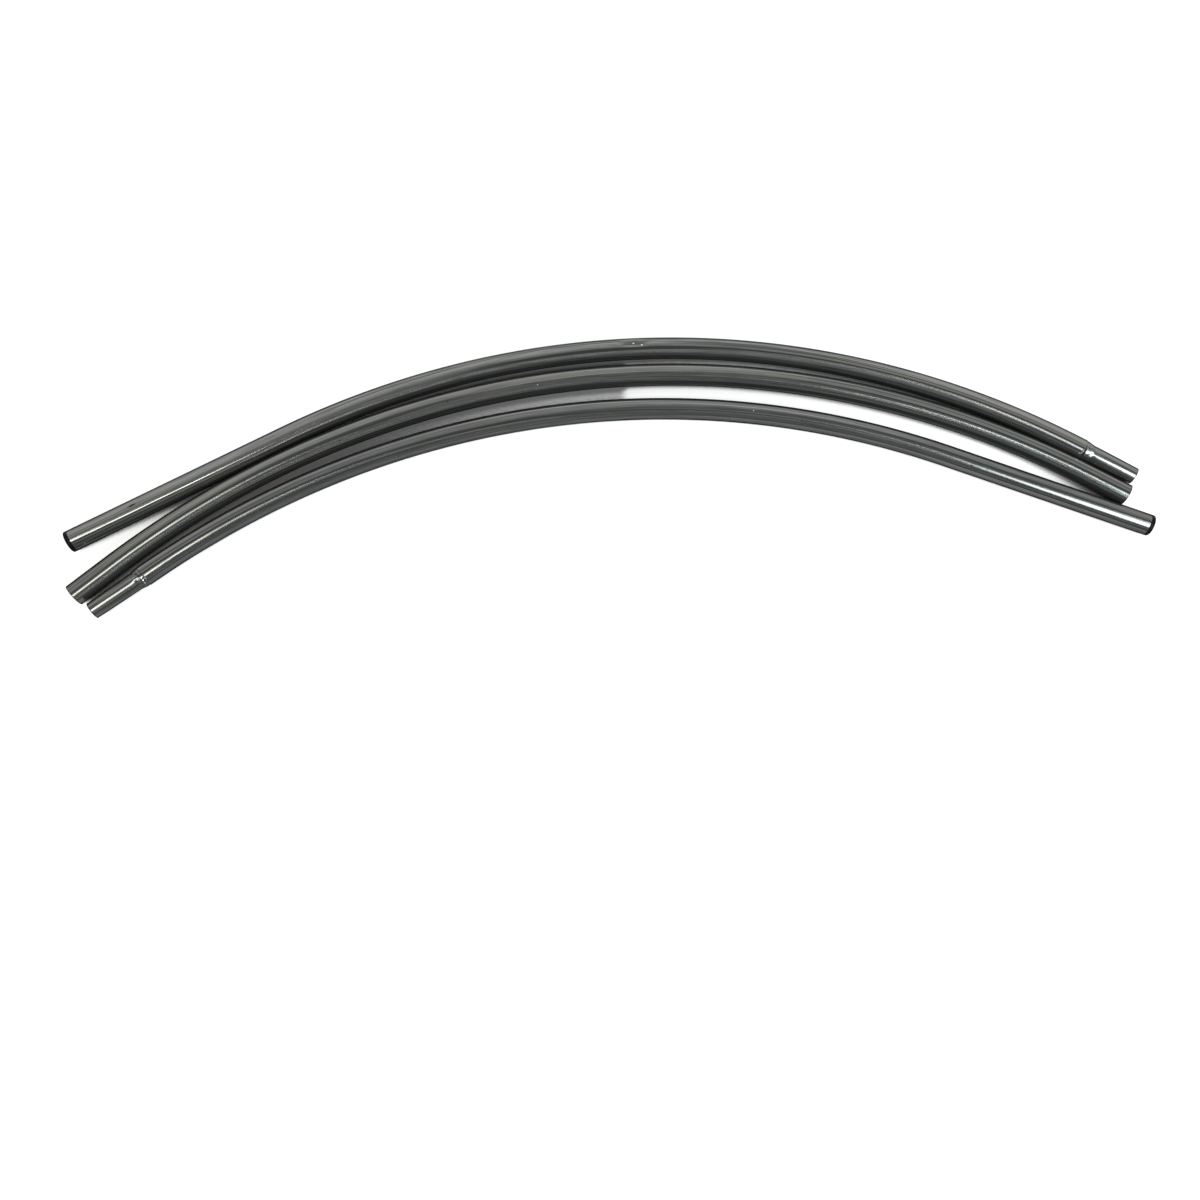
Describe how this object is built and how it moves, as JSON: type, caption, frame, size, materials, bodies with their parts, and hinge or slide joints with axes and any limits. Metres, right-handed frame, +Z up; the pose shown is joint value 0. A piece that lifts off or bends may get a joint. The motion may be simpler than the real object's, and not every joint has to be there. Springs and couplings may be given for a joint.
{
  "type": "tent pole",
  "caption": "Knock-down hoop pole for a tent: bent steel tubes with swaged spigots, open sockets and plastic end caps, laid side by side",
  "frame": {"origin": "on the surface that the pole lies on, under the middle of the box round all of its sections", "axes": "+X along the crown tube's chord, +Y towards the outside of the bends, +Z up"},
  "size_m": [1.0916, 0.2592, 0.0227],
  "materials": {
    "tube_steel": "zinc-plated drawn tube, satin",
    "cap_plastic": "moulded black polyethylene, matte"
  },
  "bodies": {
    "root": {"far_leg_tube": "tube_steel", "far_leg_cap": "cap_plastic", "crown_tube": "tube_steel", "near_leg_tube": "tube_steel", "near_leg_cap": "cap_plastic"}
  },
  "joints": []
}
